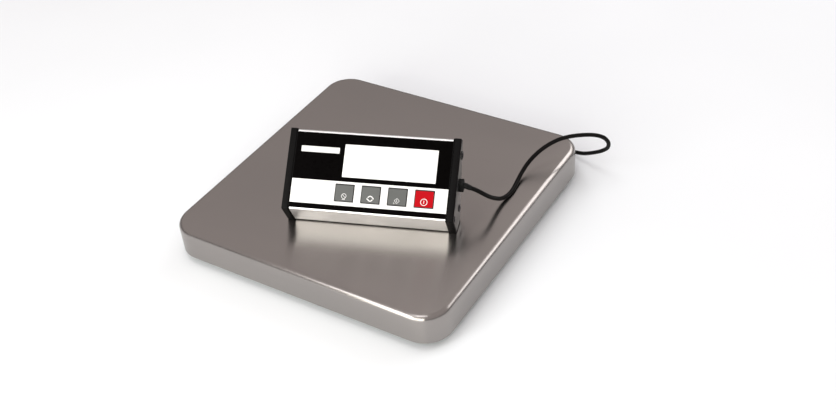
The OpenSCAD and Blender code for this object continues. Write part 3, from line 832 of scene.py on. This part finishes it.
def make_gland():
    """Cord gland: rounded block on the right cap and a bent, tapered, ribbed strain relief on the cord."""
    size = (8.6, 10.4)
    across = IND_W / 2
    at = (24.5, 38.5)
    block = prism("gland_block", rounded_rectangle(*at, *size, 1.2), across - 0.1, across + 4.6, ACROSS)
    paint(bevel(block, 0.6 * MM, 3), RUBBER)
    start = ON_PLATTER @ Vector(((across + 4.2) * MM, at[0] * MM, at[1] * MM))
    out = ON_PLATTER.to_3x3() @ Vector((1, 0, 0))
    end, beyond = (Vector(p) * MM for p in CORD_ROUTE[:2])
    along = (beyond - end).normalized()
    bend = [start, start + out * 1.6 * MM, end - along * 1.2 * MM, end + along * 1.5 * MM]
    path = smooth_path(bend, 0.2 * MM)

    def radius(share):
        """Radius along the relief, with low ribs between its ends."""
        rib = 0.16 if 0.1 < share < 0.9 and math.sin(share * 24) > 0.1 else 0
        return (2.8 - 0.5 * share + rib) * MM

    relief = paint(sweep("gland_relief", path, radius, sides=20), RUBBER)
    on_indicator(join("cord_gland", [block, relief]), "cable_gland", slot="rubber")


def corner_arc(before, here, after, r, steps=7):
    """Points round a corner of an anticlockwise outline, as (centre, unit vector outwards)."""
    e1 = (Vector(here) - Vector(before)).normalized()
    e2 = (Vector(after) - Vector(here)).normalized()
    n1, n2 = Vector((e1.y, -e1.x)), Vector((e2.y, -e2.x))
    centre = Vector(here) - (n1 + n2) * (r / (1 + n1.dot(n2)))
    turn = math.acos(max(-1.0, min(1.0, n1.dot(n2))))
    first = math.atan2(n1.y, n1.x)
    angles = [first + turn * i / steps for i in range(steps + 1)]
    return [(centre, Vector((math.cos(a), math.sin(a)))) for a in angles]


def case_ring(openings):
    """Outline of the case with its corners rounded, as (outer, inner, panel, distance along the panel).
    openings lists each panel's holes as (left, right, start, end)."""
    wall, r, hold = 1.8, 2.0, 0.5
    ring = []
    n = len(CASE_OUTLINE)
    for k in range(n):
        before, here, after = CASE_OUTLINE[k - 1], CASE_OUTLINE[k], CASE_OUTLINE[(k + 1) % n]
        for centre, out in corner_arc(before, here, after, r):
            ring.append((centre + out * r, centre + out * (r - wall), None, 0))
        along = Vector(after) - Vector(here)
        length = along.length
        along.normalize()
        inward = Vector((-along.y, along.x))
        far = corner_arc(here, after, CASE_OUTLINE[(k + 2) % n], r)[0]
        start = (ring[-1][0] - Vector(here)).length + hold
        end = (far[0] + far[1] * r - Vector(here)).length - hold
        cuts = {d for opening in openings.get(k, []) for d in opening[2:]}
        for d in sorted(cuts | {start, end}):
            p = Vector(here) + along * d
            ring.append((p, p + inward * wall, k, d))
    return ring


def make_case():
    """Extruded case with rounded corners, a real wall, and openings for window, keys and battery bay."""
    face_l = (Vector(CASE_OUTLINE[3]) - Vector(CASE_OUTLINE[4])).length
    wx, wy, ww, wh = WINDOW
    w, h = KEY_SIZE[0] / 2 + 0.3, KEY_SIZE[1] / 2 + 0.3
    front = [(wx - ww / 2, wx + ww / 2, face_l - wy - wh / 2, face_l - wy + wh / 2)]
    front += [(x - w, x + w, face_l - KEY_UP - h, face_l - KEY_UP + h) for x in KEYS.values()]
    openings = {3: front, 1: [(-BAY[0] / 2, BAY[0] / 2, BAY[1], BAY[1] + BAY[2])]}
    ring = case_ring(openings)
    edge = CASE_W / 2
    xs = sorted({-edge, edge} | {x for group in openings.values() for opening in group for x in opening[:2]})
    n, m = len(ring), len(xs) - 1

    def is_open(j, i):
        """Whether the cell after ring point j and column i lies in an opening."""
        here, after = ring[j], ring[(j + 1) % n]
        if here[2] is None or here[2] != after[2]:
            return False
        d, x = (here[3] + after[3]) / 2, (xs[i] + xs[i + 1]) / 2
        return any(x0 < x < x1 and d0 < d < d1 for x0, x1, d0, d1 in openings.get(here[2], []))

    bm = bmesh.new()
    skins = [[[bm.verts.new(ACROSS @ Vector((row[skin].x * MM, row[skin].y * MM, x * MM))) for x in xs]
              for row in ring] for skin in (0, 1)]
    filled = {(j, i) for j in range(n) for i in range(m) if not is_open(j, i)}
    for j, i in filled:
        up = (j + 1) % n
        corners = ((j, i), (up, i), (up, i + 1), (j, i + 1))
        bm.faces.new([skins[0][a][b] for a, b in corners])
        bm.faces.new([skins[1][a][b] for a, b in corners[::-1]])
        for k, (dj, di) in enumerate(((0, -1), (1, 0), (0, 1), (-1, 0))):
            if ((j + dj) % n, i + di) in filled:
                continue
            (a, b), (c, d) = corners[k], corners[(k + 1) % 4]
            bm.faces.new([skins[0][a][b], skins[0][c][d], skins[1][c][d], skins[1][a][b]])
    loose = [v for v in bm.verts if not v.link_faces]
    bmesh.ops.delete(bm, geom=loose, context="VERTS")
    parts = [paint(from_bmesh(bm, "case_extrusion", 35), CASE)]
    for side in (-1, 1):
        for at in (SCREW_LOW, SCREW_FRONT):
            ends = sorted((side * (edge - 12), side * (edge - 0.1)))
            parts.append(paint(prism("screw_boss", circle(at, 3.4, 24), *ends, ACROSS), CASE))
    on_indicator(join("case_extrusion", parts), "case_shell", slot="case_aluminium")


def out_of_cap(side, x, at):
    """Place on an end cap whose Z points out of the cap: side is 1 for the right cap, -1 for the left."""
    turn = Matrix.Rotation(side * math.pi / 2, 4, "Y")
    return ON_PLATTER @ Matrix.Translation((side * x * MM, at[0] * MM, at[1] * MM)) @ turn


def crossed_head(name, place, r, h, material):
    """Domed screw head with a cross recess, its underside at height 0."""
    arms, rings, sides = 0.17 * r, 12, 48
    bm = bmesh.new()
    rows = []
    for i in range(rings + 1):
        share = i / rings
        row = []
        for k in range(sides):
            a = 2 * math.pi * k / sides
            x, y = r * share * math.cos(a), r * share * math.sin(a)
            z = h * (1 - 0.45 * share * share)
            near, far = sorted((abs(x), abs(y)))
            if near < arms and far < 0.6 * r:
                z -= 0.6 * h * (1 - far / r)
            row.append(bm.verts.new(place @ Vector((x * MM, y * MM, z * MM))))
        rows.append(row)
    rows.append([bm.verts.new(place @ Vector((x * MM, y * MM, 0))) for x, y in circle((0, 0), r, sides)])
    for low, high in zip(rows, rows[1:]):
        for k in range(sides):
            n = (k + 1) % sides
            bm.faces.new([low[k], low[n], high[n], high[k]])
    bm.faces.new(rows[-1])
    bmesh.ops.remove_doubles(bm, verts=bm.verts, dist=0.00001)
    return paint(from_bmesh(bm, name, 30), material)


def make_cap_screws():
    """Two screws in each end cap, the front one sunk in its counterbore."""
    head_h, finish = 1.4, NODE_FINISH["black_steel"]
    parts = []
    for side in (-1, 1):
        for at, r, sunk in ((SCREW_LOW, 3.5, 0), (SCREW_FRONT, 2.8, head_h)):
            place = out_of_cap(side, IND_W / 2 - sunk, at)
            parts.append(crossed_head("screw_head", place, r, head_h, finish))
            shank = turned("screw_shank", [(1.2, -8), (1.3, -7.6), (1.3, 0.2)], place, 16)
            parts.append(paint(shank, finish))
    on_indicator(join("cap_screw_heads", parts), "cap_screws", slot="black_steel")


def make_jack():
    """Power socket: moulded rim, open barrel and its pin."""
    place = out_of_cap(1, IND_W / 2, JACK_AT)
    barrel = turned("jack_barrel", [(3.6, -6.6), (3.6, 0), (4.1, 0.05), (4.2, 0.2), (4.2, 0.8), (3.9, 1.15),
                                    (3.1, 1.2), (2.8, 0.9), (2.75, -5)], place)
    pin = turned("jack_pin", [(1.0, -5), (1.0, 0.2), (0.7, 0.5)], place, 20)
    socket = join("power_socket", [paint(barrel, MOULDED), paint(pin, ZINC)])
    on_indicator(socket, "dc_jack", slot="black_plastic")


def make_door():
    """Battery door: rounded plate with a grip of rounded ridges and an embossed arrow."""
    plate = prism("door_plate", rounded_rectangle(0, 19.2, 114, 34, 2.0), -1.8, -0.2, ON_BACK)
    parts = [paint(bevel(plate, 0.35 * MM, 3), MOULDED)]
    for i in range(7):
        x = -9 + 3 * i
        ridge = prism("door_ridge", rounded_rectangle(x, 17, 1.2, 14, 0.55), -2.35, -1.7, ON_BACK)
        parts.append(paint(bevel(ridge, 0.2 * MM, 3, angle=60), MOULDED))
    arrow = [(24, 14.4), (30, 14.4), (30, 12), (35, 17), (30, 22), (30, 19.6), (24, 19.6)]
    mark = prism("door_arrow", arrow, -1.95, -1.7, ON_BACK)
    parts.append(paint(bevel(mark, 0.08 * MM, 2), MOULDED))
    door = join("door_cover", parts)
    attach(door, "battery_door")
    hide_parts("battery_door")


def bent_strip(points, t, r):
    """Outline of a sheet of thickness t along a (back, up) line through the points, its bends rounded."""
    middle = [Vector(points[0])]
    for before, here, after in zip(points, points[1:], points[2:]):
        a, b, c = Vector(before), Vector(here), Vector(after)
        reach = min(r, (b - a).length / 2, (c - b).length / 2)
        p, q = b + (a - b).normalized() * reach, b + (c - b).normalized() * reach
        for i in range(7):
            u = i / 6
            middle.append(p * (1 - u) ** 2 + b * (2 * u * (1 - u)) + q * u * u)
    middle.append(Vector(points[-1]))
    left, right = [], []
    for i, p in enumerate(middle):
        d = (middle[min(i + 1, len(middle) - 1)] - middle[max(i - 1, 0)]).normalized()
        side = Vector((-d.y, d.x)) * t / 2
        left.append(tuple(p + side))
        right.append(tuple(p - side))
    return left + right[::-1]


def make_prop():
    """Rear prop bent from steel strip, and its two screws."""
    t, gap, strip_l, foot_l, half_w, pad_t, screw_up = 1.5, 0.05, 18, 12, 13, 2, 11
    heel = Vector(HEEL)
    up = Vector((math.cos(BACK_TILT), math.sin(BACK_TILT)))
    lie = Vector((up.y, -up.x)) * (gap + t / 2)
    leg = heel.x + PROP_LOW * up.x + 1 + t / 2
    top = heel + up * (PROP_LOW + strip_l) + lie
    bend = heel + up * ((leg - heel.x - lie.x) / up.x) + lie
    line = [tuple(top), tuple(bend), (leg, pad_t + t / 2), (leg + foot_l - t / 2, pad_t + t / 2)]
    strip = prism("prop_strip", bent_strip(line, t, 3), -half_w, half_w, ACROSS)
    on_indicator(paint(bevel(strip, 0.25 * MM, 2, angle=50), ZINC), "rear_prop", slot="plated_steel")
    heads = []
    for x in (-7, 7):
        at = Vector((x, PROP_LOW + screw_up, -t - gap)) * MM
        place = ON_BACK @ Matrix.Translation(at) @ Matrix.Rotation(math.pi, 4, "X")
        heads.append(crossed_head("prop_screw", place, 2.8, 1.4, ZINC))
        heads.append(paint(turned("prop_shank", [(1.5, -1.5), (1.5, 0.1)], place, 16), ZINC))
    on_indicator(join("prop_screw_heads", heads), "prop_screws", slot="plated_steel")


make_case()
make_caps()
make_cap_screws()
make_jack()
make_door()
make_prop()
make_label()
make_sticker()
make_lens()
make_keys()
make_gland()


# ---------------------------------------------------------------- floor and light

def make_floor():
    """Wide pale floor."""
    s = Shader("floor_pale", Roughness=0.9)
    s.colour(s.span(s.noise(3, detail=2), 0, 1), (0.84, 0.87, 0.90), (0.86, 0.89, 0.92))
    half = 6.0
    floor = new_object("floor", [(-half, -half, 0), (half, -half, 0), (half, half, 0), (-half, half, 0)],
                       [(0, 1, 2, 3)], smooth=False)
    paint(floor, s.material)


def area_light(name, place, target, size, power, colour=(1, 1, 1)):
    """Rectangular soft light, size across and up."""
    data = bpy.data.lights.new(name, "AREA")
    data.shape = "RECTANGLE"
    data.size, data.size_y = size
    data.energy = power
    data.color = colour
    lamp = bpy.data.objects.new(name, data)
    lamp.location = place
    lamp.rotation_euler = (Vector(target) - Vector(place)).to_track_quat("-Z", "Y").to_euler()
    bpy.context.scene.collection.objects.link(lamp)


def make_world():
    """Soft warm grey room, darker towards the horizon."""
    world = bpy.data.worlds.new("studio")
    world.use_nodes = True
    tree = world.node_tree
    where = tree.nodes.new("ShaderNodeTexCoord")
    parts = tree.nodes.new("ShaderNodeSeparateXYZ")
    height = tree.nodes.new("ShaderNodeMapRange")
    height.interpolation_type = "SMOOTHSTEP"
    height.inputs["From Min"].default_value = 0.1
    height.inputs["From Max"].default_value = 0.5
    mix = tree.nodes.new("ShaderNodeMix")
    mix.data_type = "RGBA"
    mix.inputs["A"].default_value = (0.09, 0.085, 0.085, 1)
    mix.inputs["B"].default_value = (0.645, 0.592, 0.578, 1)
    tree.links.new(where.outputs["Generated"], parts.inputs["Vector"])
    tree.links.new(parts.outputs["Z"], height.inputs["Value"])
    tree.links.new(height.outputs["Result"], mix.inputs["Factor"])
    tree.links.new(mix.outputs["Result"], tree.nodes["Background"].inputs["Color"])
    bpy.context.scene.world = world


make_floor()
make_world()
area_light("key_left", (-0.55, -1.3, 1.2), (0, 0, 0), (0.6, 0.6), 6)
area_light("top_soft", (-0.25, -0.25, 2.4), (0, 0, 0), (0.9, 0.9), 8.5)
area_light("back_line", (0.6, 1.6, 1.35), (0, 0, 0), (2.1, 0.7), 14)
area_light("front_low", (0.08, -1.6, 0.5), (0.03, -0.06, 0.02), (1.6, 0.85), 26, (1, 1, 0.92))
bpy.context.scene.view_settings.view_transform = "Standard"
